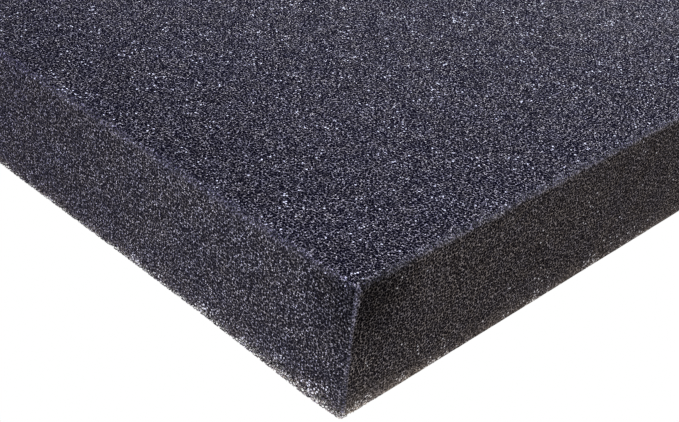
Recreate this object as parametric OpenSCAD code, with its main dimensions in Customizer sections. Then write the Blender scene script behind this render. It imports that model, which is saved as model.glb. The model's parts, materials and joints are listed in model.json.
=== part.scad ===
// Filter sponge: one flat pad of fine open-cell foam, cut square from a sheet.
// Millimetres, +Z up. The origin is at the middle of the underside, where the pad rests.

/* [Pad] */
// Length of the pad, along X
pad_length = 150; // [60:1:300]
// Width of the pad, along Y
pad_width = 150; // [60:1:300]
// Thickness of the sheet that the pad is cut from
pad_thickness = 25; // [8:0.5:60]

/* [Edges] */
// Rounding along the four top edges, which have softened with handling
top_edge_radius = 0.8; // [0.2:0.1:3.5]
// Rounding along the four bottom edges, which the knife leaves sharper
bottom_edge_radius = 0.6; // [0.2:0.1:3.5]
// Rounding of the four upright edges, seen from above
corner_radius = 0.9; // [0.2:0.1:20]

/* [Hidden] */
foam_colour = [0.25, 0.24, 0.28];
$fn = 64;

// Rectangle from the origin upwards, centred on X, with its own rounding at the foot and at the head
module rounded_panel(panel_width, panel_height, foot_radius, head_radius) {
    translate([-panel_width / 2, foot_radius])
        square([panel_width, panel_height - foot_radius - head_radius]);
    translate([-panel_width / 2 + foot_radius, 0])
        square([panel_width - 2 * foot_radius, panel_height / 2]);
    translate([-panel_width / 2 + head_radius, panel_height / 2])
        square([panel_width - 2 * head_radius, panel_height / 2]);
    for (side = [-1, 1]) {
        translate([side * (panel_width / 2 - foot_radius), foot_radius])
            circle(r = foot_radius);
        translate([side * (panel_width / 2 - head_radius), panel_height - head_radius])
            circle(r = head_radius);
    }
}

// Bar of foam of the given length along Y, with the pad's section across it
module slab_along_y(slab_width, slab_length) {
    rotate([90, 0, 0])
        translate([0, 0, -slab_length / 2])
            linear_extrude(height = slab_length)
                rounded_panel(slab_width, pad_thickness, bottom_edge_radius, top_edge_radius);
}

// Upright block with the pad's outline seen from above
module outline_block() {
    translate([0, -pad_width / 2, 0])
        linear_extrude(height = pad_thickness)
            rounded_panel(pad_length, pad_width, corner_radius, corner_radius);
}

// The whole sponge: what the two cross sections and the outline have in common
module filter_sponge() {
    color(foam_colour)
        intersection() {
            slab_along_y(pad_length, pad_width);
            rotate([0, 0, 90])
                slab_along_y(pad_width, pad_length);
            outline_block();
        }
}

filter_sponge();
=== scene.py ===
# %% [markdown]
# # Filter sponge: a square pad of charcoal open-cell foam
#
# The pad is one piece of soft plastic foam. Its gas cells have all been burst, so only the
# struts between them are left, and air or water passes straight through. We dress the packed
# CAD block in three steps: a closed skin for the body of the foam, real struts along the edges
# where light comes through, and one foam finish that both of them share.

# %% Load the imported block
import json
import math
from collections import namedtuple

import bpy
import numpy as np
from mathutils import Matrix, Vector

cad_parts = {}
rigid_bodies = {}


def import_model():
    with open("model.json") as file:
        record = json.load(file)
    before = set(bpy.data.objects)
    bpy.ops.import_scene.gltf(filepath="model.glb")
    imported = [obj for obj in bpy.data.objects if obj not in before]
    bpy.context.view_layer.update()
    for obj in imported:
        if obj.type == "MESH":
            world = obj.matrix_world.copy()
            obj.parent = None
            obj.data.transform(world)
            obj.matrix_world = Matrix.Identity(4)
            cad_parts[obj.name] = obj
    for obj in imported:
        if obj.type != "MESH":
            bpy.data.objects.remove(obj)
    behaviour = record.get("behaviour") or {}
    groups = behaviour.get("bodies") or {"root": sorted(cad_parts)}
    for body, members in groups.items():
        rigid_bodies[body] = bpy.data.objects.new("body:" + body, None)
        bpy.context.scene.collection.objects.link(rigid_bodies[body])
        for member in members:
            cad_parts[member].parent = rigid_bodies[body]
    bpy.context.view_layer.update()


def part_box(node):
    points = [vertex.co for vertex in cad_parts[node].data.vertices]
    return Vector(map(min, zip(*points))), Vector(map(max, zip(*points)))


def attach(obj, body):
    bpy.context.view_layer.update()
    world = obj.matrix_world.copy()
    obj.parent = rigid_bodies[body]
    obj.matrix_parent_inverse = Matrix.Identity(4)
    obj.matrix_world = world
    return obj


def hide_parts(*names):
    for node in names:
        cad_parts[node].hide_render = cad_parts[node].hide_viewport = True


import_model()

MM = 0.001
pad_low, pad_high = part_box("filter_sponge")
pad_middle = np.array((pad_low + pad_high) / 2)
pad_half = np.array((pad_high - pad_low) / 2)
print("pad, mm:", (2 * pad_half / MM).round(2).tolist())

# %% [markdown]
# ## The camera
#
# The pad is seen from a little above its near corner, closely enough for the cells to show.
# A camera can be aimed with a constraint, but working its axes out from three plain angles
# keeps the view easy to change: how far it is turned round the pad, how high it stands, and
# how much it is tilted sideways. It looks at a point on top of the pad, behind the near corner.

# %% Place the camera
camera_turn = math.radians(42.30)
camera_height = math.radians(32.88)
camera_tilt = math.radians(5.57)
camera_distance = 193.2 * MM
near_top_corner = Vector((pad_high.x, pad_low.y, pad_high.z))
aim_point = near_top_corner + Vector((-15.63, 12.35, 0.10)) * MM

towards_camera = Vector((
    math.sin(camera_turn) * math.cos(camera_height),
    -math.cos(camera_turn) * math.cos(camera_height),
    math.sin(camera_height),
))
level_right = Vector((0.0, 0.0, 1.0)).cross(towards_camera).normalized()
level_up = towards_camera.cross(level_right)
camera_right = level_right * math.cos(camera_tilt) + level_up * math.sin(camera_tilt)
camera_up = level_up * math.cos(camera_tilt) - level_right * math.sin(camera_tilt)

camera_data = bpy.data.cameras.new("Camera")
camera_data.lens = 66.33
camera_data.sensor_width = 36.0
camera_data.clip_start = 5 * MM
camera_data.clip_end = 50.0
camera = bpy.data.objects.new("Camera", camera_data)
bpy.context.scene.collection.objects.link(camera)
camera_axes = Matrix((camera_right, camera_up, towards_camera)).transposed().to_4x4()
camera.matrix_world = Matrix.Translation(aim_point + towards_camera * camera_distance) @ camera_axes
bpy.context.scene.camera = camera
print("camera at, mm:", [round(c / MM, 1) for c in camera.matrix_world.translation])

# %% [markdown]
# ## The edges of the block
#
# Along the edges of open-cell foam there is nothing behind the outer struts, so light gets
# through them. The closed skin therefore runs inside the true edge there, and real struts fill
# the space between the two. Both are worked out from one list of the twelve edges, so that
# they always fit each other. Soft foam also wears round soonest at its corners, so each edge
# grows rounder towards its two ends.

# %% List the twelve edges
Kind = namedtuple("Kind", "band_growth band_reach wander rounding rounding_growth")
Edge = namedtuple("Edge", "across side_across down side_down band_across band_down kind")
X, Y, Z = 0, 1, 2
UNDER = {
    X: Kind(band_growth=5.0, band_reach=8 * MM, wander=0.15, rounding=0.06 * MM, rounding_growth=0.3),
    Y: Kind(band_growth=1.6, band_reach=24 * MM, wander=0.25, rounding=0.15 * MM, rounding_growth=0.6),
}
TOP = Kind(band_growth=0.3, band_reach=4 * MM, wander=0.06, rounding=0.9 * MM, rounding_growth=0.2)
UPRIGHT = Kind(band_growth=1.0, band_reach=4 * MM, wander=0.06, rounding=0.4 * MM, rounding_growth=1.2)
UNDER_BANDS = {X: (0.07 * MM, 0.05 * MM), Y: (1.0 * MM, 0.75 * MM)}
TOP_BAND = 0.8 * MM
UPRIGHT_BAND = 0.4 * MM

edges = []
for side in (-1, 1):
    for axis in (X, Y):
        edges.append(Edge(axis, side, Z, -1, *UNDER_BANDS[axis], UNDER[axis]))
        edges.append(Edge(axis, side, Z, 1, TOP_BAND, TOP_BAND, TOP))
    for other_side in (-1, 1):
        edges.append(Edge(X, side, Y, other_side, UPRIGHT_BAND, UPRIGHT_BAND, UPRIGHT))
print(len(edges), "edges")

# %% [markdown]
# ### How an edge changes along its length
#
# No edge of cut foam is the same all along: its open struts reach further in here and there,
# and furthest at the corners. A noise could vary it, but three waves of different lengths
# never line up and give the same edge every time. Points are measured against an edge by how
# far they lie inside its two faces.

# %% Measure points against an edge
ROUNDING_REACH = 3.5 * MM
# Each wave's turn in radians per millimetre, and how far an edge's own phase shifts it.
SWAY_WAVES = ((1.27, 1.0), (0.71, 2.3), (0.33, 0.7))
PHASE_ACROSS, PHASE_DOWN = 1.7, 2.9


def gaps(edge, points):
    """How far points lie inside the two faces that meet at an edge."""
    across = pad_half[edge.across] - edge.side_across * (points[:, edge.across] - pad_middle[edge.across])
    down = pad_half[edge.down] - edge.side_down * (points[:, edge.down] - pad_middle[edge.down])
    return across, down


def widths(edge, points):
    """The reach of the open struts on an edge's two faces, and its rounding, beside each point."""
    kind = edge.kind
    along = X + Y + Z - edge.across - edge.down
    from_middle = points[:, along] - pad_middle[along]
    from_end = pad_half[along] - np.abs(from_middle)
    phase = PHASE_ACROSS * edge.across * edge.side_across + PHASE_DOWN * edge.down * edge.side_down
    sway = sum(np.sin(from_middle / MM * turn + phase * shift) for turn, shift in SWAY_WAVES)
    band = (1 + kind.band_growth * np.exp(-(from_end / kind.band_reach) ** 2)) * (1 + kind.wander * sway)
    rounding = kind.rounding * (1 + kind.rounding_growth * np.exp(-(from_end / ROUNDING_REACH) ** 2))
    return edge.band_across * band, edge.band_down * band, rounding


at_corner = np.array([pad_high])
for edge in edges[:2]:
    reach, _, rounding = (round(float(width[0]) / MM, 2) for width in widths(edge, at_corner))
    print("at its corner an edge is open for", reach, "mm and rounded by", rounding, "mm")

# %% [markdown]
# ## The body of the foam
#
# Seen from outside, the foam is a square-cut block. A scaled cube would give it dead straight
# edges and nowhere for the edge struts to show, so the block is laid out as a grid of points
# over all six faces, with its lines close together near the edges. The next two steps move
# these points.

# %% Lay a grid over the six faces
GRID_PITCH = 1.0 * MM
EDGE_LINES = np.array([0.0, 0.45, 0.9, 1.4, 1.9, 2.4, 3.1]) * MM


def grid_lines(low, high):
    """Positions of the grid lines along one axis: close together near both ends."""
    inner_low, inner_high = low + EDGE_LINES[-1], high - EDGE_LINES[-1]
    middle = np.linspace(inner_low, inner_high, round((inner_high - inner_low) / GRID_PITCH) + 1)
    return np.concatenate([low + EDGE_LINES[:-1], middle, (high - EDGE_LINES[:-1])[::-1]])


def box_grid(lines):
    """Points and four-sided faces of a closed box whose faces carry the given grid lines."""
    counts = [len(line) for line in lines]
    on_shell = np.zeros(counts, dtype=bool)
    for axis in (X, Y, Z):
        for end in (0, -1):
            on_shell[tuple(end if a == axis else slice(None) for a in (X, Y, Z))] = True
    number = np.full(counts, -1)
    number[on_shell] = np.arange(on_shell.sum())
    where = np.argwhere(on_shell)
    points = np.stack([lines[axis][where[:, axis]] for axis in (X, Y, Z)], axis=1)
    faces = []
    for axis in (X, Y, Z):
        for end in (0, -1):
            side = np.take(number, end, axis=axis)
            quads = np.stack([side[:-1, :-1], side[1:, :-1], side[1:, 1:], side[:-1, 1:]], axis=-1)
            quads = quads.reshape(-1, 4)
            faces.append(quads if (end == -1) == (axis != Y) else quads[:, ::-1])
    return points, np.concatenate(faces)


body_points, body_faces = box_grid([grid_lines(pad_low[axis], pad_high[axis]) for axis in (X, Y, Z)])
print("grid:", len(body_points), "points,", len(body_faces), "faces")

# %% [markdown]
# ### The slanted bands along the edges
#
# The outermost cells of the foam are open, so the closed skin has to stay behind them. A
# Bevel modifier would cut all the edges to one even width. Here each edge has its own width,
# and it sways a little along the edge, so the points are moved: half of the band's
# width inwards at the edge, and less and less away from it.

# %% Ease the edges in
TINY = 1e-9


def eased(edge, points):
    """How far an edge's slanted band moves the points on its two faces."""
    gap_across, gap_down = gaps(edge, points)
    band_across, band_down, _ = widths(edge, points)
    on_across, on_down = gap_across < TINY, gap_down < TINY
    share = np.maximum(
        np.where(on_down, np.clip(1 - gap_across / band_across, 0, 1), 0),
        np.where(on_across, np.clip(1 - gap_down / band_down, 0, 1), 0),
    ) / 2
    move = np.zeros_like(points)
    move[:, edge.across] = -edge.side_across * share * band_across
    move[:, edge.down] = -edge.side_down * share * band_down
    return move


easing = sum(eased(edge, body_points) for edge in edges)
body_points += easing
print("edges eased in by up to", round(float(np.abs(easing).max()) / MM, 2), "mm")

# %% [markdown]
# ### The unevenness of the cut faces
#
# A blade pushes soft foam away before it cuts, so the faces come out very slightly wavy. A
# Displace modifier with a cloud texture could do this, but a few crossed waves are enough and
# are easy to repeat. The underside stays flat, because the pad lies on it.

# %% Give the cut faces their slight unevenness
CUT_UNEVENNESS = 0.06 * MM
MIDDLE_WAVES, FINE_WAVES = 0.6, 0.5
NEAR_FACE = 0.97


def cutting_waves(points):
    """Low waves over the block, from 0 to 1. They turn by these radians per millimetre of x, y and z."""
    x, y, z = (points / MM).T
    broad = np.sin(x * 0.21 + 1.3) * np.sin(y * 0.17 + z * 0.3 + 0.4)
    middle = np.sin(x * 0.53 - y * 0.31 + z * 0.8 + 2.1)
    fine = np.sin(x * 1.1 + y * 1.7 - z * 1.3) * np.sin(y * 0.9 - x * 1.3 + z * 0.7)
    highest = 1 + MIDDLE_WAVES + FINE_WAVES
    return 0.5 + (broad + MIDDLE_WAVES * middle + FINE_WAVES * fine) / (2 * highest)


from_middle = (body_points - pad_middle) / pad_half
outward = np.where(np.abs(from_middle) > NEAR_FACE, np.sign(from_middle), 0)
outward[:, Z] = np.maximum(outward[:, Z], 0)
hollows = CUT_UNEVENNESS * cutting_waves(body_points)
body_points -= outward * hollows[:, None]
print("cut faces hollowed by", (np.array([hollows.min(), hollows.max()]) / MM).round(3).tolist(), "mm")

# %% [markdown]
# ### The bow at the foot, and the mesh
#
# Soft foam seldom lies quite straight, and the foot of the front face bows by a few tenths of
# a millimetre. A Lattice or a Curve modifier could bend it, but it would bend each piece in
# its own way. One function moves the points of the body and of the edge struts alike, just
# before they become a mesh, so the pieces keep their fit.

# %% Bow the foot of the front face and make the mesh
# How far out the foot bows, at these distances from the right end of the front face.
BOW_PLACES = np.array([0, 8, 20, 33, 55, 72, 88, 110, 150]) * MM
BOW = np.array([0.10, 0.42, 0.08, -0.12, -0.08, 0.06, 0.15, 0.08, 0]) * MM
BOW_HEIGHT = 5 * MM


def bowed(points):
    """The same points, with the foot of the front face bowed a little out and in along its length."""
    bow = np.interp(pad_high.x - points[:, X], BOW_PLACES, BOW)
    foot = np.exp(-np.maximum(points[:, Z] - pad_low.z, 0) / BOW_HEIGHT)
    front = np.exp(-np.maximum(points[:, Y] - pad_low.y, 0) / BOW_HEIGHT)
    return points - np.outer(bow * foot * front, (0, 1, 0))


def mesh_piece(name, points, faces):
    """A new smooth-shaded object from arrays of points and faces."""
    mesh = bpy.data.meshes.new(name)
    mesh.from_pydata(bowed(points).tolist(), [], faces.tolist())
    mesh.polygons.foreach_set("use_smooth", np.ones(len(mesh.polygons), dtype=bool))
    mesh.update()
    piece = bpy.data.objects.new(name, mesh)
    bpy.context.scene.collection.objects.link(piece)
    return piece


foam_body = mesh_piece("foam_body", body_points, body_faces)
print("foam body:", 2 * len(foam_body.data.polygons), "triangles")

# %% [markdown]
# ## The open struts along the edges
#
# The cells of this foam fill space like a pack of soap bubbles. Four struts meet at every
# joint, and they swell there into a small knuckle. Scattered rods would not join up, so the
# joints are placed on the lattice that such cells form, turned so that no rows show, and
# each strut is drawn between the knuckles that it joins. Only the edges get them: further in,
# the struts hide each other.

# %% Lay out a lattice of joints
CELL_SIZE = 0.86 * MM
quarter_cell = CELL_SIZE / 4
turn_x, turn_z, turn_y = (
    Matrix.Rotation(angle, 3, axis) for angle, axis in ((0.61, "X"), (0.87, "Z"), (0.43, "Y"))
)
lattice_turn = np.array(turn_x @ turn_z @ turn_y)


def joints_between(low, high):
    """Places of the joints in a box, as whole numbers of quarter cells along the lattice."""
    box_corners = np.stack(np.meshgrid(*zip(low, high)), axis=-1).reshape(-1, 3)
    reach = box_corners @ lattice_turn / quarter_cell
    spans = [np.arange(math.floor(a), math.ceil(b) + 1) for a, b in zip(reach.min(0), reach.max(0))]
    places = np.stack(np.meshgrid(*spans, indexing="ij"), axis=-1).reshape(-1, 3)
    kinds = places % 4
    places = places[((kinds == 0).sum(1) == 1) & ((kinds == 2).sum(1) == 1)]
    where = places @ lattice_turn.T * quarter_cell
    return places[((where >= low) & (where < high)).all(1)]


sample = joints_between(pad_middle - CELL_SIZE, pad_middle + CELL_SIZE)
print("joints in a box two cells wide:", len(sample))

# %% [markdown]
# ### The joints round every edge
#
# Filling the whole pad would take about ten million joints. A square bar round each edge is
# enough, and it is filled block by block to keep the memory small. Bars meet at the corners,
# so joints that are found twice are counted once. Then each joint is shaken a little, from a
# fixed seed, since no two cells of real foam are alike.

# %% Place the joints round every edge
BLOCK = 5 * MM
JOINT_SHAKE = 0.06 * MM
SHAKE_SEED = 45
KEY_SPAN = 1000000


def joints_near(edge):
    """Places of the joints in a square bar round an edge, block by block along it."""
    along = X + Y + Z - edge.across - edge.down
    low, high = pad_middle - pad_half - CELL_SIZE, pad_middle + pad_half + CELL_SIZE
    widest = (1 + edge.kind.band_growth) * (1 + len(SWAY_WAVES) * edge.kind.wander)
    for axis, side, band in (
        (edge.across, edge.side_across, edge.band_across),
        (edge.down, edge.side_down, edge.band_down),
    ):
        if side > 0:
            low[axis] = high[axis] - widest * band - 2 * CELL_SIZE
        else:
            high[axis] = low[axis] + widest * band + 2 * CELL_SIZE
    found = []
    for start in np.arange(low[along], high[along], BLOCK):
        low[along], high[along] = start, start + BLOCK
        found.append(joints_between(low, high))
    return np.concatenate(found)


def place_keys(places):
    """One whole number for each place, so that places can be looked up."""
    shifted = places.astype(np.int64) + KEY_SPAN // 10
    return (shifted[..., 0] * KEY_SPAN + shifted[..., 1]) * KEY_SPAN + shifted[..., 2]


joint_places = np.unique(np.concatenate([joints_near(edge) for edge in edges]), axis=0)
joint_places = joint_places[np.argsort(place_keys(joint_places))]
random_numbers = np.random.default_rng(SHAKE_SEED)
joint_points = joint_places @ lattice_turn.T * quarter_cell
joint_points += random_numbers.normal(0, JOINT_SHAKE, joint_points.shape)
print("joints near the edges:", len(joint_places))

# %% [markdown]
# ### How deep a joint lies
#
# The struts have to fill the thin space between the skin and the true edges, and none may
# stick out of the pad. A Boolean modifier could cut them to shape, but it is slow and often
# fails on thousands of thin tubes. Two measured distances do the same work: how deep a point
# lies under the rounded block, and how far it stands over the slanted bands of the skin.

# %% Measure how deep points lie
def depth_inside(points):
    """How deep points lie under the pad's rounded surface. It is below zero outside the pad."""
    depth = np.full(len(points), np.inf)
    for edge in edges:
        across, down = gaps(edge, points)
        rounding = widths(edge, points)[2]
        rounded = (across < rounding) & (down < rounding)
        from_round = rounding - np.hypot(rounding - across, rounding - down)
        depth = np.minimum(depth, np.where(rounded, from_round, np.minimum(across, down)))
    return depth


def height_over_skin(points):
    """How far points lie outside the slanted bands of the skin. It is below zero inside the skin."""
    height = np.full(len(points), -np.inf)
    for edge in edges:
        across, down = gaps(edge, points)
        band_across, band_down, _ = widths(edge, points)
        share = 1 - across / band_across - down / band_down
        height = np.maximum(height, share / np.hypot(1 / band_across, 1 / band_down))
    return height


depth = depth_inside(joint_points)
print("joints lie between these depths, mm:", (np.array([depth.min(), depth.max()]) / MM).round(2).tolist())

# %% [markdown]
# ### Joints that lie too shallow
#
# A joint right at the cut would stick out of the pad by the width of its own struts. It could
# be thrown away, but then the edge would look moth-eaten. It is pressed in instead, straight
# in from a flat face and towards the middle of the rounding near an edge, until it lies as
# deep as it must.

# %% Press points in under the surface
def pressed_in(points, least):
    """The same points, with any that lie less than the least depth moved in to it."""
    points = points.copy()
    for edge in edges:
        across, down = gaps(edge, points)
        rounding = np.maximum(widths(edge, points)[2], least)
        off_across, off_down = rounding - across, rounding - down
        rounded = (off_across > 0) & (off_down > 0)
        pull = np.minimum(1, (rounding - least) / np.maximum(np.hypot(off_across, off_down), TINY))
        new_across = np.where(rounded, rounding - off_across * pull, np.maximum(across, least))
        new_down = np.where(rounded, rounding - off_down * pull, np.maximum(down, least))
        points[:, edge.across] += edge.side_across * (across - new_across)
        points[:, edge.down] += edge.side_down * (down - new_down)
    return points


pad_corner = np.array([pad_high])
pressed = pressed_in(pad_corner, 0.1 * MM) - pad_corner
print("a point at the pad's corner is pressed in by", round(float(np.linalg.norm(pressed)) / MM, 2), "mm")

# %% [markdown]
# ### The joints that stay
#
# A knife leaves some joints just under the cut and takes others away. Joints well outside the
# pad are dropped, and so are those far below the skin, because nobody can see them. The catch
# reaches further out along the edges, where a joint more fills a gap in the outline. Struts
# next to the surface are a little thicker, so that the edges don't look threadbare.

# %% Keep the joints between the skin and the true edge
STRUT_REACH = 0.085 * MM
SINK = 0.25 * MM
CUT_MARGIN = 0.015 * MM
FACE_CATCH, EDGE_CATCH = 0.05 * MM, 0.50 * MM
SKIN_THICKENING, SKIN_LAYER = 0.3, 0.35 * MM
PRESS_SPREAD = 0.03 * MM


def off_the_edges(points):
    """The distance from each point to the nearest edge line of the block."""
    return np.min([np.hypot(*gaps(edge, points)) for edge in edges], axis=0)


catch = FACE_CATCH + EDGE_CATCH * np.exp(-(off_the_edges(joint_points) / EDGE_CATCH) ** 2)
outside = depth < -catch
kept = (height_over_skin(joint_points) > -SINK) & ~outside
joint_reach = STRUT_REACH * (1 + SKIN_THICKENING * np.exp(-(np.maximum(depth, 0) / SKIN_LAYER) ** 2))
least_depth = joint_reach + CUT_MARGIN + random_numbers.uniform(0, PRESS_SPREAD, len(joint_reach))
joint_points[kept] = pressed_in(joint_points[kept], least_depth[kept])
print("joints kept:", int(kept.sum()), "of which pressed in:", int((kept & (depth < STRUT_REACH)).sum()))

# %% [markdown]
# ### The four neighbours of a joint
#
# Every strut runs from one joint to a neighbour. A search for the nearest points would find
# them too, but shaken joints could then be paired wrongly. The lattice knows the four steps
# from each kind of joint, so the neighbours are looked up by their whole-number places. A
# neighbour that isn't there still has a direction, which the stub of a cut strut needs.

# %% Find the four neighbours of each joint
def neighbour_steps(places):
    """The four steps, in quarter cells, from each joint to the joints that its struts reach."""
    kinds = places % 4
    rows = np.arange(len(places))
    odd_axis = np.argmax(kinds % 2 == 1, axis=1)
    odd_kind = kinds[rows, odd_axis]
    steps = np.zeros((len(places), 4, 3), dtype=int)
    for pair, (even_kind, direction) in enumerate(((0, -1), (2, 1))):
        even_axis = np.argmax(kinds == even_kind, axis=1)
        for turn in (0, 1):
            steps[rows, 2 * pair + turn, odd_axis] = np.where(odd_kind == 1, direction, -direction)
            steps[rows, 2 * pair + turn, even_axis] = (-1, 1)[turn]
    return steps


steps = neighbour_steps(joint_places)
keys = place_keys(joint_places)
wanted = place_keys(joint_places[:, None] + steps)
found = np.searchsorted(keys, wanted).clip(0, len(keys) - 1)
neighbours = np.where(keys[found] == wanted, found, -1)
strut_lines = np.where(
    neighbours[..., None] >= 0,
    joint_points[neighbours] - joint_points[:, None],
    steps @ lattice_turn.T * quarter_cell,
)
print("joints with all four neighbours:", int((neighbours >= 0).all(1).sum()))

# %% [markdown]
# ### The knuckles
#
# Where four struts meet, the foam thickens into a small knuckle. A ball at each joint would
# need many faces and would only poke through the struts. Here a knuckle is an eight-sided
# solid with one corner between each two of its struts. Four of its faces are open, one for
# each strut, and the other four face the cells.

# %% Draw the knuckles
CORNER_PAIRS = [(0, 1), (0, 2), (0, 3), (1, 2), (1, 3), (2, 3)]


def between_struts(directions):
    """For each pair of a joint's four struts, the direction between the two."""
    return np.stack([directions[:, i] + directions[:, j] for i, j in CORNER_PAIRS], axis=1)


def facing(joints, three, strut, way):
    """A triangle on three corners of each joint, wound to face along a strut (1) or against it (-1)."""
    unshaken = steps[joints] @ lattice_turn.T
    a, b, c = (between_struts(unshaken)[:, k] for k in three)
    turned = way * np.einsum("ij,ij->i", np.cross(b - a, c - a), unshaken[:, strut]) < 0
    triangles = np.arange(len(joints))[:, None] * len(CORNER_PAIRS) + three
    return np.where(turned[:, None], triangles[:, ::-1], triangles)


def knuckles(joints):
    """Points of the knuckles, the mouths that their struts join, and the faces towards the cells."""
    directions = strut_lines[joints]
    directions = directions / np.linalg.norm(directions, axis=2, keepdims=True)
    corners = between_struts(directions)
    corners *= joint_reach[joints, None, None] / np.linalg.norm(corners, axis=2, keepdims=True)
    points = (joint_points[joints, None] + corners).reshape(-1, 3)
    mouths, cell_faces = [], []
    for strut in range(4):
        at_mouth = [k for k, pair in enumerate(CORNER_PAIRS) if strut in pair]
        mouths.append(facing(joints, at_mouth, strut, 1))
        cell_faces.append(facing(joints, [k for k in range(6) if k not in at_mouth], strut, -1))
    return points, np.stack(mouths, axis=1), cell_faces


print("a knuckle has", len(CORNER_PAIRS), "corners: one between each two of its struts")

# %% [markdown]
# ### The struts
#
# A strut is a three-sided tube between two open faces of knuckles. That is the true section
# of a foam strut: it is what three bubbles leave between them. Curves with a bevel would be
# easier to draw, but they wouldn't join. Here joints and struts share their corners and make
# one closed, watertight web. Where the knife went through a strut, its stub ends flush with
# the cut.

# %% Draw the struts
LEAST_STUB = 0.02


def tube(near, far):
    """The six triangles round each strut, between its near and far mouths."""
    sides = []
    for k, following in ((0, 1), (1, 2), (2, 0)):
        sides.append(np.stack([near[:, k], near[:, following], far[:, following]], axis=1))
        sides.append(np.stack([near[:, k], far[:, following], far[:, k]], axis=1))
    return sides


def whole_struts(points, mouths, other):
    """The struts between two knuckles of a web. Each is turned so that it twists least."""
    start, strut = np.nonzero(other > np.arange(len(mouths))[:, None])
    end = other[start, strut]
    back = np.argmax(other[end] == start[:, None], axis=1)
    near, far = mouths[start, strut], mouths[end, back][:, ::-1]
    turns = np.stack([np.roll(far, turn, axis=1) for turn in range(3)], axis=1)
    twist = np.linalg.norm(points[turns] - points[near][:, None], axis=3).sum(2)
    return tube(near, turns[np.arange(len(far)), twist.argmin(1)])


def cut_struts(points, mouths, joints, is_cut):
    """The stubs of the struts that were cut through, with the new points that end them."""
    start, strut = np.nonzero(is_cut)
    near = mouths[start, strut]
    line = strut_lines[joints[start], strut][:, None]
    depth_near = depth_inside(points[near].reshape(-1, 3)).reshape(-1, 3)
    depth_far = depth_inside((points[near] + line).reshape(-1, 3)).reshape(-1, 3)
    share = (depth_near - CUT_MARGIN) / np.maximum(depth_near - depth_far, TINY)
    share = np.clip(share, LEAST_STUB, 1)
    far = len(points) + np.arange(near.size).reshape(-1, 3)
    return (points[near] + line * share[..., None]).reshape(-1, 3), tube(near, far) + [far]


print("a stub is at least", LEAST_STUB, "of its strut")

# %% [markdown]
# ### One web for each quarter of the pad
#
# The webs of all twelve edges take over half a million triangles. One mesh of that size is
# slow to pick and to edit, so it is built in four quarters of the pad. A strut that runs from
# one quarter into the next is drawn by both, and each closes it at its end, so every web is
# whole by itself.

# %% Join knuckles and struts into a web
def web_of_struts(chosen):
    """Points and triangles of the closed web on the chosen joints."""
    joints = np.flatnonzero(chosen)
    own_number = np.full(len(chosen), -1)
    own_number[joints] = np.arange(len(joints))
    near_joint = neighbours[joints]
    other = np.where(near_joint >= 0, own_number[near_joint], -1)
    is_cut = (other < 0) & (near_joint >= 0) & (outside | (kept & ~chosen))[near_joint]

    points, mouths, triangles = knuckles(joints)
    triangles.append(mouths[(other < 0) & ~is_cut])
    triangles += whole_struts(points, mouths, other)
    stub_ends, stubs = cut_struts(points, mouths, joints, is_cut)
    return np.concatenate([points, stub_ends]), np.concatenate(triangles + stubs)


strut_webs = []
from_middle = joint_points - pad_middle
for name, side_x, side_y in (
    ("edge_struts_front_right", 1, -1),
    ("edge_struts_back_right", 1, 1),
    ("edge_struts_back_left", -1, 1),
    ("edge_struts_front_left", -1, -1),
):
    quarter = ((from_middle[:, X] >= 0) == (side_x > 0)) & ((from_middle[:, Y] >= 0) == (side_y > 0))
    web_points, web_triangles = web_of_struts(kept & quarter)
    strut_webs.append(mesh_piece(name, web_points, web_triangles))
    print(name, len(web_triangles), "triangles")

# %% [markdown]
# ## The foam finish
#
# Away from the edges the foam is thousands of cells across, far too many to model, so there
# its struts are drawn by the materials. The body and the edge struts have a material each, but
# many effects are the same on both. Each effect is therefore a node group with named inputs
# and outputs, built once and placed wherever it is needed. Building node trees by hand takes
# many lines, so a few helpers come first.

# %% Helpers for building node trees
FLOAT, VECTOR, COLOUR = "NodeSocketFloat", "NodeSocketVector", "NodeSocketColor"


def add_node(tree, kind, inputs=None, **settings):
    """A new node with its settings, and its inputs by name or number: a value, or a socket to link."""
    node = tree.nodes.new(kind)
    for key, value in settings.items():
        setattr(node, key, value)
    for key, value in (inputs or {}).items():
        if isinstance(value, bpy.types.NodeSocket):
            tree.links.new(value, node.inputs[key])
        else:
            node.inputs[key].default_value = value
    return node


def calculate(tree, operation, *values, clamp=False):
    """The result of a Math node."""
    node = add_node(tree, "ShaderNodeMath", dict(enumerate(values)), operation=operation, use_clamp=clamp)
    return node.outputs[0]


def calculate_vector(tree, operation, *values):
    """The result of a Vector Math node."""
    return add_node(tree, "ShaderNodeVectorMath", dict(enumerate(values)), operation=operation).outputs[0]


def split(tree, vector):
    """The three parts of a vector."""
    return add_node(tree, "ShaderNodeSeparateXYZ", {0: vector}).outputs


def new_group(name, inputs, outputs):
    """An empty node group with named sockets. Inputs are (name, type, default value)."""
    group = bpy.data.node_groups.new(name, "ShaderNodeTree")
    for socket_name, kind, value in inputs:
        socket = group.interface.new_socket(socket_name, in_out="INPUT", socket_type=kind)
        if value is not None:
            socket.default_value = value
    for socket_name, kind in outputs:
        group.interface.new_socket(socket_name, in_out="OUTPUT", socket_type=kind)
    print("group:", name, "| takes", [row[0] for row in inputs], "| gives", [row[0] for row in outputs])
    return group, group.nodes.new("NodeGroupInput").outputs, group.nodes.new("NodeGroupOutput").inputs


print("helpers are ready for sockets of", FLOAT, VECTOR, COLOUR)

# %% [markdown]
# ### A place on the cut face
#
# A flat pattern has to know where on a face it is. A UV map could say so, but it would have
# to be unwrapped again after every change of size. Here the piece's own coordinates are
# measured against the pad: the nearest face decides which two of the three are used, so the
# cells keep their true size on every face. The group also tells which way that face looks.

# %% Group: a place on the cut face
def flat_place(tree, across, up):
    """A place on a face, from the two coordinates that run along it."""
    return add_node(tree, "ShaderNodeCombineXYZ", {0: across, 1: up}).outputs[0]


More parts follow.
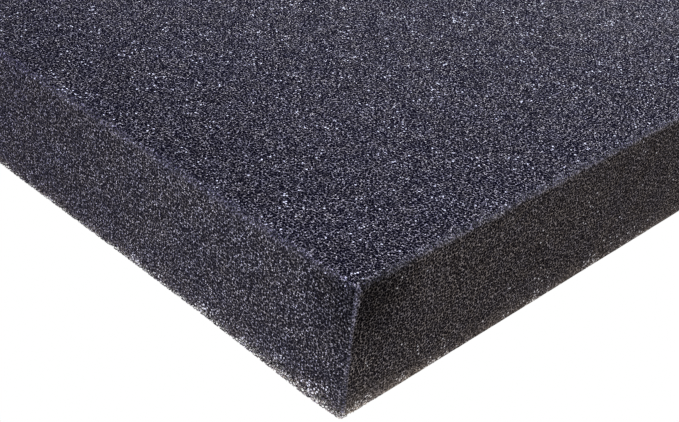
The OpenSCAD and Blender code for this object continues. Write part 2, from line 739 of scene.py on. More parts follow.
def choose_place(tree, which, first, second):
    """The first place where which is 0, and the second where it is 1."""
    inputs = {0: which, 4: first, 5: second}
    return add_node(tree, "ShaderNodeMix", inputs, data_type="VECTOR").outputs[1]


place_group, _, gives = new_group(
    "Place on the cut face", [],
    [("On face", VECTOR), ("In pad", VECTOR), ("Upright", FLOAT), ("Right or left", FLOAT)],
)
tree = place_group
where = add_node(tree, "ShaderNodeTexCoord").outputs["Object"]
x, y, z = split(tree, where)
from_centre = calculate_vector(tree, "SUBTRACT", where, tuple(pad_middle))
from_centre = calculate_vector(tree, "ABSOLUTE", from_centre)
inside_x, inside_y, inside_z = split(tree, calculate_vector(tree, "SUBTRACT", tuple(pad_half), from_centre))
faces_x = calculate(tree, "LESS_THAN", inside_x, inside_y)
level = calculate(tree, "LESS_THAN", inside_z, calculate(tree, "MINIMUM", inside_x, inside_y))
upright = calculate(tree, "SUBTRACT", 1.0, level)
on_side = choose_place(tree, faces_x, flat_place(tree, x, z), flat_place(tree, y, z))
on_face = choose_place(tree, level, on_side, flat_place(tree, x, y))
tree.links.new(on_face, gives["On face"])
tree.links.new(where, gives["In pad"])
tree.links.new(upright, gives["Upright"])
tree.links.new(calculate(tree, "MULTIPLY", upright, faces_x), gives["Right or left"])

# %% [markdown]
# ### A net of struts
#
# On the cut face the struts show as a net of thin lines round the pores. An image texture
# would show its repeats, and a displaced mesh would need millions of faces. A Voronoi pattern
# splits the face into cells, and its distance to the cell walls gives struts of even width. A
# second pattern with the same cells tells how far it is to a cell's middle: the joints lie
# furthest out, and the light painted on the struts is brightest there, as knuckles catch most.

# %% Group: a net of struts
STRUT_CORE = 0.55
NET_RANDOMNESS = 0.85
JOINT_SPAN, MID_STRUT_LIGHT = (0.40, 0.62), 0.25


def ramp_between(tree, value, low, high, low_gives=0.0, high_gives=1.0):
    """A smooth step: low_gives below low, high_gives above high, and in between between them."""
    inputs = {
        "Value": value, "From Min": low, "From Max": high, "To Min": low_gives, "To Max": high_gives,
    }
    return add_node(tree, "ShaderNodeMapRange", inputs, interpolation_type="SMOOTHSTEP").outputs[0]


net_group, given, gives = new_group(
    "Net of struts",
    [
        ("Place", VECTOR, None), ("Shift", VECTOR, (0, 0, 0)),
        ("Cell size", FLOAT, 0.001), ("Strut width", FLOAT, 0.1),
    ],
    [("Strut", FLOAT), ("Height", FLOAT), ("Joint", FLOAT)],
)
tree = net_group
cell_layout = {
    "Vector": calculate_vector(tree, "ADD", given["Place"], given["Shift"]),
    "Scale": calculate(tree, "DIVIDE", 1.0, given["Cell size"]),
    "Randomness": NET_RANDOMNESS,
}
to_wall, to_seed = (
    add_node(tree, "ShaderNodeTexVoronoi", cell_layout, voronoi_dimensions="2D", feature=kind)
    for kind in ("DISTANCE_TO_EDGE", "F1")
)
core = calculate(tree, "MULTIPLY", given["Strut width"], STRUT_CORE)
strut = ramp_between(tree, to_wall.outputs["Distance"], core, given["Strut width"], 1.0, 0.0)
joint = ramp_between(tree, to_seed.outputs["Distance"], *JOINT_SPAN, MID_STRUT_LIGHT, 1.0)
tree.links.new(strut, gives["Strut"])
tree.links.new(calculate(tree, "SQRT", strut), gives["Height"])
tree.links.new(joint, gives["Joint"])

# %% [markdown]
# ### Light on the bits of strut
#
# Each short piece of strut is turned its own way, so one catches the light and the next one
# doesn't. Real normals for this would flicker at this size and need many samples. Instead a
# small random lightness is given to each bit. Raising it to a power, the contrast, leaves
# most bits dark and a few bright, as they are on the foam.

# %% Group: light on the strut bits
def bits_of(tree, place, size, **settings):
    """A Voronoi pattern that splits a piece into small bits, each with a random colour."""
    inputs = {"Vector": place, "Scale": calculate(tree, "DIVIDE", 1.0, size)}
    return add_node(tree, "ShaderNodeTexVoronoi", inputs, **settings)


def chances(bits):
    """Three random numbers for each bit."""
    return add_node(bits.id_data, "ShaderNodeSeparateColor", {0: bits.outputs["Color"]}).outputs


grain_group, given, gives = new_group(
    "Light on the strut bits",
    [("Place", VECTOR, None), ("Grain size", FLOAT, 0.0003), ("Contrast", FLOAT, 1.5)],
    [("Lightness", FLOAT)],
)
tree = grain_group
chance = chances(bits_of(tree, given["Place"], given["Grain size"]))[0]
tree.links.new(calculate(tree, "POWER", chance, given["Contrast"]), gives["Lightness"])

# %% [markdown]
# ### Light on the joints
#
# The knuckles where four struts meet are small and round, so here and there one of them
# sends the light straight back. They could be modelled as tiny balls, but a soft round dot
# in the middle of each Voronoi cell looks the same at this size. A high contrast picks out
# only a few of them.

# %% Group: light on the joints
JOINT_RANDOMNESS = 0.9
JOINT_DOT = (0.14, 0.36)
joint_group, given, gives = new_group(
    "Light on the joints",
    [("Place", VECTOR, None), ("Spacing", FLOAT, 0.0004), ("Contrast", FLOAT, 10.0)],
    [("Lightness", FLOAT)],
)
tree = joint_group
joints_seen = bits_of(tree, given["Place"], given["Spacing"], voronoi_dimensions="2D")
joints_seen.inputs["Randomness"].default_value = JOINT_RANDOMNESS
dot = ramp_between(tree, joints_seen.outputs["Distance"], *JOINT_DOT, 1.0, 0.0)
bright = calculate(tree, "POWER", chances(joints_seen)[1], given["Contrast"])
tree.links.new(calculate(tree, "MULTIPLY", dot, bright), gives["Lightness"])

# %% [markdown]
# ### The few glints
#
# A few struts are turned so that they mirror a lamp. A glossy shader would do this by itself,
# but such small sparks need very many samples. So a small share of the bits is chosen at
# random and painted as bright dots. A slow noise makes the share rise and fall, because
# glints come in little crowds.

# %% Group: glints
GLINT_DOT = (0.30, 0.50)
CROWD_SCALE, CROWD_SPAN = 160.0, (0.45, 0.75)
FEWEST, MOST = 0.1, 3.0
COARSE, FINE = 1.0, 2.0


def noise(tree, place, scale, detail):
    """A cloudy value near one half."""
    inputs = {"Vector": place, "Scale": scale, "Detail": detail}
    return add_node(tree, "ShaderNodeTexNoise", inputs).outputs[0]


glint_group, given, gives = new_group(
    "Glints",
    [("Place", VECTOR, None), ("Grain size", FLOAT, 0.0003), ("Share", FLOAT, 0.005)],
    [("Glint", FLOAT)],
)
tree = glint_group
bits = bits_of(tree, given["Place"], given["Grain size"])
crowding = noise(tree, given["Place"], CROWD_SCALE, COARSE)
crowding = ramp_between(tree, crowding, *CROWD_SPAN, FEWEST, MOST)
limit = calculate(tree, "SUBTRACT", 1.0, calculate(tree, "MULTIPLY", given["Share"], crowding))
chosen = calculate(tree, "GREATER_THAN", chances(bits)[1], limit)
dot = ramp_between(tree, bits.outputs["Distance"], *GLINT_DOT, 1.0, 0.0)
tree.links.new(calculate(tree, "MULTIPLY", chosen, dot), gives["Glint"])

# %% [markdown]
# ### How far it is to the edges
#
# The painted rim highlight and the light let through both follow the edges of the pad, so both
# need the distance to them. It could be painted on as a vertex colour, but the paint would be
# lost whenever the mesh is built again. It is worked out from the pad's own size instead: the
# way to the nearest side and the way to a chosen level, the top or the floor, are put together
# as the legs of a right angle.

# %% Group: distance from the edges
edge_group, given, gives = new_group(
    "Distance from the edges",
    [("Place", VECTOR, None), ("Level", FLOAT, 0.0), ("Front inset", FLOAT, 0.0)],
    [("From edge", FLOAT), ("From corner", FLOAT), ("Faces right or left", FLOAT)],
)
tree = edge_group
from_centre = calculate_vector(tree, "SUBTRACT", given["Place"], tuple(pad_middle))
x, y, _ = split(tree, calculate_vector(tree, "ABSOLUTE", from_centre))
from_x = calculate(tree, "SUBTRACT", pad_half[X], x)
from_y = calculate(tree, "SUBTRACT", pad_half[Y], y)
from_side = calculate(tree, "MINIMUM", from_x, calculate(tree, "SUBTRACT", from_y, given["Front inset"]))
from_level = calculate(tree, "SUBTRACT", given["Level"], split(tree, given["Place"])[2])
squares = [calculate(tree, "POWER", leg, 2.0) for leg in (from_side, from_level)]
tree.links.new(calculate(tree, "SQRT", calculate(tree, "ADD", *squares)), gives["From edge"])
tree.links.new(calculate(tree, "MAXIMUM", from_x, from_y), gives["From corner"])
tree.links.new(calculate(tree, "LESS_THAN", from_x, from_y), gives["Faces right or left"])

# %% [markdown]
# ### Painted highlight on the rims
#
# Along the top rims the frayed struts catch the light from more sides and look paler, and this
# is a painted highlight. Pointiness could find the edges, but it depends on the mesh and misses
# the struts' material. The distance to the edge does it for both, with noise added so that the
# pale strip is ragged. The strip is fainter on the front and back rims. It also wraps round the
# upright edges onto the two sides as a bluish painted highlight, wider towards the top.

# %% Group: painted rim highlight
RIM_HIGHLIGHT_DEPTH, FRONT_INSET = 0.1 * MM, 0.25 * MM
RAGGED_SCALE, RAGGED, RAGGED_AT_CORNER = 900.0, 1.8, 0.4
RIM_HIGHLIGHT_SPAN, RIM_HIGHLIGHT_AT_FRONT, RIM_HIGHLIGHT_MORE_AT_SIDES = (0.2, 1.0), 0.52, 0.48
RIM_REACH = 3 * MM
WRAP_SPAN, WRAP_FOOT, WRAP_HEAD = (0.6, 1.15), 0.9 * MM, 1.6 * MM
WRAP_WIDENS, WRAP_FULL = 9 * MM, 3 * MM


def use_group(tree, group, **inputs):
    """The outputs of a node group placed in a tree. Underscores in the input names stand for spaces."""
    sockets = {name.replace("_", " "): value for name, value in inputs.items()}
    return add_node(tree, "ShaderNodeGroup", sockets, node_tree=group).outputs


rim_highlight_group, given, gives = new_group(
    "Painted rim highlight",
    [("Place", VECTOR, None), ("Reach", FLOAT, 0.001)],
    [("Rim highlight", FLOAT), ("Near rim", FLOAT), ("Near corner", FLOAT)],
)
tree = rim_highlight_group
from_edge, from_corner, faces_side = use_group(
    tree, edge_group, Place=given["Place"], Level=pad_high.z - RIM_HIGHLIGHT_DEPTH, Front_inset=FRONT_INSET
)
ragged = noise(tree, given["Place"], RAGGED_SCALE, COARSE)
ragged = calculate(tree, "MULTIPLY", calculate(tree, "SUBTRACT", ragged, 0.5), RAGGED)
far = calculate(tree, "ADD", calculate(tree, "DIVIDE", from_edge, given["Reach"]), ragged)
much = calculate(tree, "MULTIPLY_ADD", faces_side, RIM_HIGHLIGHT_MORE_AT_SIDES, RIM_HIGHLIGHT_AT_FRONT)
# A painted highlight: paler foam along the top rims, where the frayed struts catch more light.
rim_highlight = calculate(tree, "MULTIPLY", ramp_between(tree, far, *RIM_HIGHLIGHT_SPAN, 1.0, 0.0), much)
tree.links.new(rim_highlight, gives["Rim highlight"])
near_rim = ramp_between(tree, from_edge, 0.0, RIM_REACH, 1.0, 0.0)
tree.links.new(calculate(tree, "SUBTRACT", near_rim, faces_side, clamp=True), gives["Near rim"])
# The painted highlight wraps round the upright edges onto the sides, wider towards the top.
height = split(tree, given["Place"])[2]
reach = ramp_between(
    tree, height, pad_high.z - WRAP_WIDENS, pad_high.z - WRAP_FULL, WRAP_FOOT, WRAP_HEAD
)
far = calculate(tree, "DIVIDE", from_corner, reach)
far = calculate(tree, "MULTIPLY_ADD", ragged, RAGGED_AT_CORNER, far)
tree.links.new(ramp_between(tree, far, *WRAP_SPAN, 1.0, 0.0), gives["Near corner"])

# %% [markdown]
# ### Light let through beside the under edges
#
# The pad lies on a lit table, and just above the floor the foam is so thin behind its edge
# that light comes through it. Real light passing through thousands of struts would be slow
# and noisy to render, so its effect is painted on. It fades away from the edge as light does
# in a thick medium, by the same share with each step, and it is strongest at the corners,
# where two edges are near.

# %% Group: light let through
CORNER_LIGHT_REACH = 28 * MM
AT_CORNER, ALONG_EDGE = 1.3, 0.48
through_group, given, gives = new_group(
    "Light let through", [("Place", VECTOR, None), ("Reach", FLOAT, 0.001)], [("Amount", FLOAT)],
)
tree = through_group
from_edge, from_corner, _ = use_group(tree, edge_group, Place=given["Place"], Level=pad_low.z)
fading = calculate(tree, "DIVIDE", from_edge, given["Reach"])
fading = calculate(tree, "EXPONENT", calculate(tree, "MULTIPLY", fading, -1.0))
towards_corner = ramp_between(tree, from_corner, 0.0, CORNER_LIGHT_REACH, AT_CORNER, ALONG_EDGE)
tree.links.new(calculate(tree, "MULTIPLY", fading, towards_corner), gives["Amount"])

# %% [markdown]
# ### Painted shade at the near corner
#
# Near the top of the near corner, where less light reaches, the three faces lie darker, and
# this is a painted shade. Such a patch could be painted as a texture. A soft oval round one
# point is simpler to move and to resize: it says how much of the light is kept, from the
# middle of the patch out to where the foam is fully lit.

# %% Group: painted shade at a corner
CORNER_SHADE_SPAN, LEAST_KEPT = (0.1, 1.1), 0.38
corner_shade_group, given, gives = new_group(
    "Painted corner shade",
    [("Place", VECTOR, None), ("Centre", VECTOR, (0, 0, 0)), ("Reach", VECTOR, (0.01, 0.01, 0.01))],
    [("Kept light", FLOAT)],
)
tree = corner_shade_group
off = calculate_vector(tree, "SUBTRACT", given["Place"], given["Centre"])
off = calculate_vector(tree, "DIVIDE", off, given["Reach"])
far = add_node(tree, "ShaderNodeVectorMath", {0: off}, operation="LENGTH").outputs["Value"]
tree.links.new(ramp_between(tree, far, *CORNER_SHADE_SPAN, LEAST_KEPT, 1.0), gives["Kept light"])

# %% [markdown]
# ### Slow changes of tint, and a painted shade on the top
#
# Foam is never quite one colour: from one patch to the next it is a little cooler or warmer.
# A single flat colour would look like plastic sheet. A soft noise drifts between two tints
# that lie close together. On the top, a strip behind the front rim is also made a little
# darker by a painted shade.

# %% Group: slow tint and top shade
TINT_SCALE, TINT_SPAN = 260.0, (0.3, 0.7)
COOL_TINT, WARM_TINT = (0.96, 0.97, 1.02, 1), (1.04, 1.02, 0.98, 1)
TOP_SHADE_SHARE = 0.15
TOP_SHADE_NEAR, TOP_SHADE_FAR = 11 * MM, 27 * MM
TOP_SHADE_FADES, TOP_SHADE_ENDS = 30 * MM, 13 * MM


def mix_colours(tree, amount, first, second, blend_type="MIX"):
    """The colour between two others."""
    inputs = {0: amount, 6: first, 7: second}
    return add_node(tree, "ShaderNodeMix", inputs, data_type="RGBA", blend_type=blend_type).outputs[2]


tint_and_shade_group, given, gives = new_group(
    "Slow tint and top shade", [("Place", VECTOR, None), ("Upright", FLOAT, 0.0)], [("Tint", COLOUR)],
)
tree = tint_and_shade_group
cloud = noise(tree, given["Place"], TINT_SCALE, FINE)
tint = mix_colours(tree, ramp_between(tree, cloud, *TINT_SPAN), COOL_TINT, WARM_TINT)
x, y, _ = split(tree, given["Place"])
# Painted shade on a strip of the top behind the front rim, fading out towards the right end.
top_shade = ramp_between(tree, y, pad_low.y + TOP_SHADE_NEAR, pad_low.y + TOP_SHADE_FAR, TOP_SHADE_SHARE, 0.0)
off_the_corner = ramp_between(tree, x, pad_high.x - TOP_SHADE_FADES, pad_high.x - TOP_SHADE_ENDS, 1.0, 0.0)
top_shade = calculate(tree, "MULTIPLY", top_shade, off_the_corner)
top_shade = calculate(tree, "MULTIPLY", top_shade, calculate(tree, "SUBTRACT", 1.0, given["Upright"]))
kept = calculate(tree, "SUBTRACT", 1.0, top_shade)
tree.links.new(mix_colours(tree, 1.0, tint, kept, "MULTIPLY"), gives["Tint"])

# %% [markdown]
# ### Painted light and tint, put together
#
# The body and its edge struts have to be lit and tinted alike, or the seam between them would
# show. Each material could mix the effects for itself, but then the two would drift apart with
# every change. One group lays them over any colour, from the broadest to the finest: light let
# through, the painted rim highlight, tint with its painted shade on the top, the painted shade
# of the near corner and last the painted glints, which nothing dims. There are more glints by
# the rims and in the light from below, and fewer on the two sides.

# %% Group: painted light and tint
GLINT_SIZE = 0.42 * MM
GLINTS, GLINTS_TO_SIDE, GLINTS_BY_RIM, GLINTS_IN_LIGHT = 0.031, -0.021, 0.06, 0.95
THROUGH_REACH, RIM_HIGHLIGHT_REACH = 1.25 * MM, 1.2 * MM
WRAP_SHARE = 0.62
RIM_HIGHLIGHT_ON_LIT, RIM_HIGHLIGHT_ON_DARK = 1.1, 0.065
CORNER_SHADE_CENTRE = (pad_high.x, pad_low.y + 3.5 * MM, pad_high.z - 2.5 * MM)
CORNER_SHADE_REACH = (14 * MM, 13 * MM, 14 * MM)
CORNER_SHADE_ON_SIDES, CORNER_SHADE_ON_TOP = 1.0, 0.2
GLINT_COLOUR, THROUGH_GLINT = (0.92, 0.90, 0.86, 1), (0.98, 0.87, 0.70, 1)
THROUGH_COLOUR = (0.56, 0.47, 0.38, 1)
RIM_HIGHLIGHT_COLOUR, WRAPPED_HIGHLIGHT_COLOUR = (0.62, 0.58, 0.57, 1), (0.53, 0.51, 0.63, 1)

light_and_tint_group, given, gives = new_group(
    "Painted light and tint",
    [
        ("Colour", COLOUR, None), ("Place", VECTOR, None), ("Upright", FLOAT, 0.0),
        ("Right or left", FLOAT, 0.0), ("Lightness", FLOAT, 0.0), ("Lit", FLOAT, 0.0),
        ("Through gain", FLOAT, 1.5),
    ],
    [("Colour", COLOUR)],
)
tree, in_pad, to_side = light_and_tint_group, given["Place"], given["Right or left"]
through = use_group(tree, through_group, Place=in_pad, Reach=THROUGH_REACH)[0]
rim_highlight, near_rim, near_corner = use_group(tree, rim_highlight_group, Place=in_pad, Reach=RIM_HIGHLIGHT_REACH)
# The painted rim highlight, with its bluish painted wrap round the upright edges.
wrapped_highlight = calculate(tree, "MULTIPLY", near_corner, to_side)
rim_highlight = calculate(tree, "MAXIMUM", rim_highlight, calculate(tree, "MULTIPLY", wrapped_highlight, WRAP_SHARE))
# Painted glints: more by the rims and in the light let through, fewer on the two sides.
share = calculate(tree, "MULTIPLY_ADD", to_side, GLINTS_TO_SIDE, GLINTS)
share = calculate(tree, "MULTIPLY_ADD", through, GLINTS_IN_LIGHT, share)
share = calculate(tree, "MULTIPLY_ADD", near_rim, GLINTS_BY_RIM, share)
glint = use_group(tree, glint_group, Place=in_pad, Grain_size=GLINT_SIZE, Share=share)[0]
glint_colour = mix_colours(tree, through, GLINT_COLOUR, THROUGH_GLINT)
# The slow tint, with its painted shade on a strip of the top.
tint = use_group(tree, tint_and_shade_group, Place=in_pad, Upright=given["Upright"])[0]

brightened = calculate(tree, "MULTIPLY", given["Lightness"], given["Through gain"])
through = calculate(tree, "MULTIPLY", through, brightened)
colour = mix_colours(tree, through, given["Colour"], THROUGH_COLOUR)
# The painted rim highlight is strongest on the lit bits of strut.
rim_highlight = calculate(
    tree, "MULTIPLY", rim_highlight, calculate(tree, "MULTIPLY_ADD", given["Lit"], RIM_HIGHLIGHT_ON_LIT, RIM_HIGHLIGHT_ON_DARK)
)
colour = mix_colours(tree, rim_highlight, colour, mix_colours(tree, wrapped_highlight, RIM_HIGHLIGHT_COLOUR, WRAPPED_HIGHLIGHT_COLOUR))
colour = mix_colours(tree, 1.0, colour, tint, "MULTIPLY")

# Painted shade near the top of the near corner: full on the upright faces, weaker on the top, lifted under
# the wrapped highlight.
kept_light = use_group(tree, corner_shade_group, Place=in_pad, Centre=CORNER_SHADE_CENTRE, Reach=CORNER_SHADE_REACH)[0]
corner_shade = calculate(
    tree, "MULTIPLY_ADD", given["Upright"], CORNER_SHADE_ON_SIDES - CORNER_SHADE_ON_TOP, CORNER_SHADE_ON_TOP
)
corner_shade = calculate(tree, "MULTIPLY", corner_shade, calculate(tree, "SUBTRACT", 1.0, wrapped_highlight))
lost_light = calculate(tree, "SUBTRACT", kept_light, 1.0)
kept_light = calculate(tree, "MULTIPLY_ADD", lost_light, corner_shade, 1.0)
colour = mix_colours(tree, 1.0, colour, kept_light, "MULTIPLY")
tree.links.new(mix_colours(tree, glint, colour, glint_colour), gives["Colour"])

# %% [markdown]
# ## The material of the foam
#
# Looking into the foam, one sees struts behind struts. Real depth would need a volume or
# displaced layers, and both render slowly. Three flat nets do it here: each lies behind the
# last, shifted so that their cells don't line up, and is fainter, because less light reaches
# the struts further in. The first net is lit bit by bit, most of all at its joints.

# %% Start the foam material with three nets
def new_material(name):
    """A new material with an empty node tree."""
    material = bpy.data.materials.new(name)
    material.use_nodes = True
    material.node_tree.nodes.clear()
    return material, material.node_tree


FIRST_CELL, FIRST_STRUT, INNER_CELL = 0.58 * MM, 0.22, 0.46 * MM
# The shift, cell size and strut width of each net, from the cut face inwards.
NETS = (
    ((0.0, 0.0, 0.0), FIRST_CELL, FIRST_STRUT),
    ((0.3137, 0.1711, 0.0), INNER_CELL, 0.10),
    ((0.7391, 0.4903, 0.0), INNER_CELL, 0.17),
)
PORE_COLOUR = (0.0008, 0.0007, 0.0018, 1)
DEEP_COLOUR = (0.0020, 0.0018, 0.0040, 1)
MIDDLE_COLOUR = (0.0042, 0.0037, 0.0078, 1)
FIRST_DARK, FIRST_LIGHT = (0.0072, 0.0064, 0.0128, 1), (0.500, 0.452, 0.432, 1)
BIT_SIZE = 0.18 * MM
BIT_CONTRAST, CONTRAST_TO_SIDE = 3.5, -1.38

foam, tree = new_material("charcoal_foam")
place = use_group(tree, place_group)
in_pad, on_face, to_side = place["In pad"], place["On face"], place["Right or left"]
first, middle, deep = (
    use_group(tree, net_group, Place=on_face, Shift=shift, Cell_size=cell, Strut_width=width)
    for shift, cell, width in NETS
)
# The painted light on the strut bits is spread more evenly on the two sides, with a lower contrast.
contrast = calculate(tree, "MULTIPLY_ADD", to_side, CONTRAST_TO_SIDE, BIT_CONTRAST)
lightness = use_group(tree, grain_group, Place=in_pad, Grain_size=BIT_SIZE, Contrast=contrast)[0]
colour = mix_colours(tree, deep["Strut"], PORE_COLOUR, DEEP_COLOUR)
colour = mix_colours(tree, middle["Strut"], colour, MIDDLE_COLOUR)
at_joints = calculate(tree, "MULTIPLY", lightness, first["Joint"])
colour = mix_colours(tree, first["Strut"], colour, mix_colours(tree, at_joints, FIRST_DARK, FIRST_LIGHT))
print("foam material:", len(NETS), "nets in", len(tree.nodes), "nodes so far")

# %% [markdown]
# ### How each face takes the light
#
# Each face takes the lamps and the room in its own colour, and part of that is painted into
# the faces' tones, as lit and shaded copies of one foam. The sides get warmer painted shade and
# weaker painted joint highlights, the front gets painted bluish highlights over warmer painted
# shade, and the pores of the upright faces get a faint painted glow of light from inside.

# %% Give each face its tones
PORE_GLOW = (0.050, 0.046, 0.052, 1)
GLOW_UPRIGHT, GLOW_TO_SIDE = 0.13, -0.06
WARM_SIDE_SHADE = (0.94, 0.86, 0.70, 1)
FRONT_SHADE, FRONT_SHINE = (1.03, 1.01, 0.90, 1), (0.96, 0.98, 1.07, 1)
JOINT_SPACING, JOINT_CONTRAST, JOINTS_TO_SIDE = 0.38 * MM, 8.5, -0.45
JOINT_HIGHLIGHT_COLOUR, FRONT_JOINT_HIGHLIGHT = (0.97, 0.89, 0.82, 1), (0.93, 0.88, 0.89, 1)

# A faint painted glow of light in the pores of the upright faces, less on the two sides.
glow = calculate(tree, "MULTIPLY", place["Upright"], GLOW_UPRIGHT)
glow = calculate(tree, "MULTIPLY_ADD", to_side, GLOW_TO_SIDE, glow)
colour = mix_colours(tree, glow, colour, PORE_GLOW)
lit = calculate(tree, "MULTIPLY", lightness, first["Strut"])
# Painted warm shade on the dark parts of the two sides.
side_shade = calculate(tree, "MULTIPLY", to_side, calculate(tree, "SUBTRACT", 1.0, lit))
colour = mix_colours(tree, side_shade, colour, WARM_SIDE_SHADE, "MULTIPLY")
# Painted bluish highlights over warmer painted shade on the front.
to_front = calculate(tree, "SUBTRACT", place["Upright"], to_side)
front_tone = mix_colours(tree, lit, FRONT_SHADE, FRONT_SHINE)
colour = mix_colours(tree, to_front, colour, front_tone, "MULTIPLY")
# Painted highlights on the joints, weaker on the two sides.
joint_light = use_group(tree, joint_group, Place=on_face, Spacing=JOINT_SPACING, Contrast=JOINT_CONTRAST)[0]
weaker = calculate(tree, "MULTIPLY_ADD", to_side, JOINTS_TO_SIDE, 1.0)
joint_light = calculate(tree, "MULTIPLY", joint_light, weaker)
colour = mix_colours(tree, joint_light, colour, mix_colours(tree, to_front, JOINT_HIGHLIGHT_COLOUR, FRONT_JOINT_HIGHLIGHT))
print("foam material:", len(tree.nodes), "nodes with the tones of the faces")

# %% [markdown]
# ### Painted light, relief and the surface
#
# Last the painted light and tint go over the foam's own colour, and a Bump node lifts the
# struts of the first two nets so that they catch the lamps from one side. Displacing the mesh
# would look no different at a tenth of a millimetre. Foam has no shine of its own, so the
# specular level is zero, and the glints painted before take its place.

# %% Finish the foam material
THROUGH_GAIN = 1.5
RELIEF, RELIEF_STRENGTH, MIDDLE_RELIEF = 0.10 * MM, 0.8, 0.5
FOAM_ROUGHNESS = 0.5
colour = use_group(
    tree, light_and_tint_group, Colour=colour, Place=in_pad, Upright=place["Upright"], Right_or_left=to_side,
    Lightness=lightness, Lit=lit, Through_gain=THROUGH_GAIN,
)[0]
middle_height = calculate(tree, "MULTIPLY", middle["Height"], MIDDLE_RELIEF)
height = calculate(tree, "MAXIMUM", first["Height"], middle_height)
relief = {"Strength": RELIEF_STRENGTH, "Distance": RELIEF, "Height": height}
bump = add_node(tree, "ShaderNodeBump", relief).outputs[0]
shader = add_node(tree, "ShaderNodeBsdfPrincipled", {
    "Base Color": colour, "Roughness": FOAM_ROUGHNESS, "Specular IOR Level": 0.0, "Normal": bump,
})
add_node(tree, "ShaderNodeOutputMaterial", {"Surface": shader.outputs[0]})
foam_body.data.materials.append(foam)
print(foam.name, "on", foam_body.name, "with", len(tree.nodes), "nodes")

# %% [markdown]
# ## The material of the open struts
#
# The struts along the edges are the same charcoal foam, but they are real shapes, so they need
# no nets for depth and no bump. The body's material would draw its pores on them and break
# them up. This one only paints light and shade on them by bits, with a trace of the first net
# so that they belong to the skin behind, and then adds the same painted light and tint.

# %% Make the strut material
STRUT_DARK, STRUT_LIGHT = (0.008, 0.0075, 0.010, 1), (0.36, 0.33, 0.34, 1)
STRUT_BIT_SIZE, STRUT_CONTRAST = 0.34 * MM, 2.0
NET_SHARE, STRUT_SHARE = 0.8, 0.2
STRUT_THROUGH_GAIN = 1.4
STRUT_ROUGHNESS, STRUT_SHINE = 0.4, 0.1

struts, tree = new_material("charcoal_struts")
place = use_group(tree, place_group)
in_pad, on_face, to_side = place["In pad"], place["On face"], place["Right or left"]
lightness = use_group(
    tree, grain_group, Place=in_pad, Grain_size=STRUT_BIT_SIZE, Contrast=STRUT_CONTRAST
)[0]
net = use_group(tree, net_group, Place=on_face, Cell_size=FIRST_CELL, Strut_width=FIRST_STRUT)["Strut"]
trace = calculate(tree, "MULTIPLY_ADD", net, NET_SHARE, STRUT_SHARE)
lit = calculate(tree, "MULTIPLY", lightness, trace)
colour = use_group(
    tree, light_and_tint_group, Colour=mix_colours(tree, lit, STRUT_DARK, STRUT_LIGHT), Place=in_pad,
    Upright=place["Upright"], Right_or_left=to_side, Lightness=lightness, Lit=lit,
    Through_gain=STRUT_THROUGH_GAIN,
)[0]
shader = add_node(tree, "ShaderNodeBsdfPrincipled", {
    "Base Color": colour, "Roughness": STRUT_ROUGHNESS, "Specular IOR Level": STRUT_SHINE,
})
add_node(tree, "ShaderNodeOutputMaterial", {"Surface": shader.outputs[0]})
for web in strut_webs:
    web.data.materials.append(struts)
print(struts.name, "on", len(strut_webs), "webs with", len(tree.nodes), "nodes")

# %% [markdown]
# ## Tie the pieces to the pad
#
# The drawn foam has to stand for the solid pad wherever the part is used. Each piece is
# parented to the body that it rides on, and the CAD solid that it stands for is hidden.

# %% Tie the pieces to the pad
for piece in [foam_body, *strut_webs]:
    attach(piece, "root")
    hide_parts("filter_sponge")
    print(piece.name, "rides on root and replaces filter_sponge")

# %% [markdown]
# ## The lit table
#
# The pad lies on a white table that is lit through from below like a light box, so it shows as
# plain white and sends light up into the open edges. A white floor under strong lamps would
# turn grey in places and throw back too much light. An emitting one is even everywhere: what
# is seen of it is pure white, and it lights the pad with a little less. From below it is
# clear, so that the pad's underside can be looked at.

# %% Lay the lit table
FLOOR_REACH = 8.0
FLOOR_GAP = 0.02 * MM
FLOOR_LIGHT = 0.88
floor_corners = [(x * FLOOR_REACH, y * FLOOR_REACH, 0) for x, y in ((-1, -1), (1, -1), (1, 1), (-1, 1))]
floor_mesh = bpy.data.meshes.new("floor")
floor_mesh.from_pydata(floor_corners, [], [(0, 1, 2, 3)])
floor = bpy.data.objects.new("floor", floor_mesh)
bpy.context.scene.collection.objects.link(floor)
floor.location.z = pad_low.z - FLOOR_GAP

table_top, tree = new_material("lit_table")
seen = add_node(tree, "ShaderNodeLightPath").outputs["Is Camera Ray"]
strength = calculate(tree, "MULTIPLY_ADD", seen, 1 - FLOOR_LIGHT, FLOOR_LIGHT)
glow = add_node(tree, "ShaderNodeEmission", {"Color": (1, 1, 1, 1), "Strength": strength})
clear = add_node(tree, "ShaderNodeBsdfTransparent")
from_below = add_node(tree, "ShaderNodeNewGeometry").outputs["Backfacing"]
both = add_node(tree, "ShaderNodeMixShader", {0: from_below, 1: glow.outputs[0], 2: clear.outputs[0]})
add_node(tree, "ShaderNodeOutputMaterial", {"Surface": both.outputs[0]})
floor.data.materials.append(table_top)
print("table:", 2 * FLOOR_REACH, "m square, at z =", round(floor.location.z / MM, 2), "mm")

# %% [markdown]
# ## The room
#
# A studio's walls are seldom all one colour. Here the room's light is cool in front and neutral
# at the right, and it passes smoothly from one to the other. A panorama image could light the
# pad like this, but a world made of two colours is lighter and easier to tune. Behind the
# pad the camera sees plain white, whatever lights it.

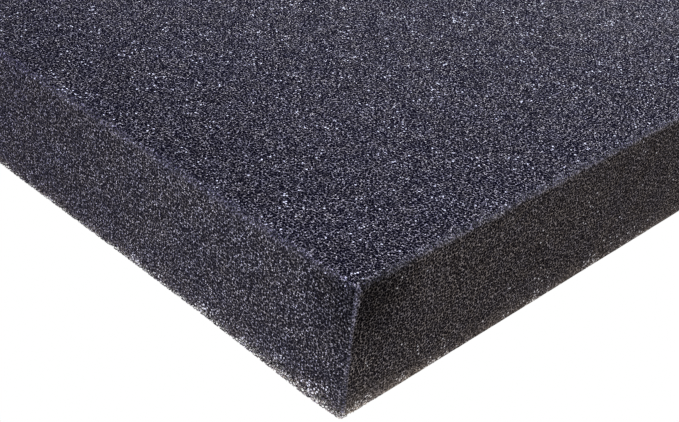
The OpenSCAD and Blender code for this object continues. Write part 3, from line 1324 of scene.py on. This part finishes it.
# %% Light the room
ROOM_IN_FRONT, ROOM_AT_RIGHT = (0.290, 0.262, 1.000, 1), (0.346, 0.332, 0.360, 1)
ROOM_BLEND = 0.8
BACKDROP = (1.0, 1.0, 1.0, 1)
world = bpy.data.worlds.new("studio")
world.use_nodes = True
bpy.context.scene.world = world
tree = world.node_tree
direction = add_node(tree, "ShaderNodeTexCoord").outputs["Generated"]
x, y, _ = split(tree, direction)
rightward = ramp_between(tree, calculate(tree, "ADD", x, y), -ROOM_BLEND, ROOM_BLEND)
room_light = mix_colours(tree, rightward, ROOM_IN_FRONT, ROOM_AT_RIGHT)
seen = add_node(tree, "ShaderNodeLightPath").outputs["Is Camera Ray"]
room = tree.nodes["Background"]
tree.links.new(mix_colours(tree, seen, room_light, BACKDROP), room.inputs["Color"])
print("room:", world.name, "with", len(tree.nodes), "nodes")

# %% [markdown]
# ## The softboxes
#
# Three soft lamps give the pad its shape. One hangs overhead, behind the pad and right of its
# middle, and lights the top. A larger one stands at the back left and skims over the top, so
# that the struts show. A small weak one in front lifts the front face. Sun lamps would give
# hard shadows between the struts, so all three are area lights that the camera doesn't see.

# %% Hang the softboxes
def softbox(name, centre, target, size, power, colour):
    """A square area light at centre, facing target."""
    data = bpy.data.lights.new(name, "AREA")
    data.size, data.energy, data.color = size, power, colour
    light = bpy.data.objects.new(name, data)
    bpy.context.scene.collection.objects.link(light)
    facing = (Vector(centre) - Vector(target)).to_track_quat("Z", "Y").to_matrix().to_4x4()
    light.matrix_world = Matrix.Translation(centre) @ facing
    light.visible_camera = False
    print(name, "of", power, "W, mm:", [round(c / MM) for c in centre])


SOFTBOX_COLOUR, FRONT_SOFTBOX_COLOUR = (0.665, 0.74, 0.78), (0.69, 0.755, 0.72)
front_middle = (30 * MM, pad_low.y, pad_middle[Z])
right_edge = (pad_high.x - 5 * MM, 0.0, pad_high.z)
softbox(
    "overhead_softbox", centre=(0.07, 0.25, 0.30), target=right_edge, size=0.15, power=1.3,
    colour=SOFTBOX_COLOUR,
)
softbox(
    "back_softbox", centre=(-0.185, 0.30, 0.12), target=pad_middle, size=0.25, power=5.3,
    colour=SOFTBOX_COLOUR,
)
softbox(
    "front_softbox", centre=(0.061, -0.171, 0.03), target=front_middle, size=0.12, power=0.15,
    colour=FRONT_SOFTBOX_COLOUR,
)
bpy.context.scene.view_settings.view_transform = "Standard"
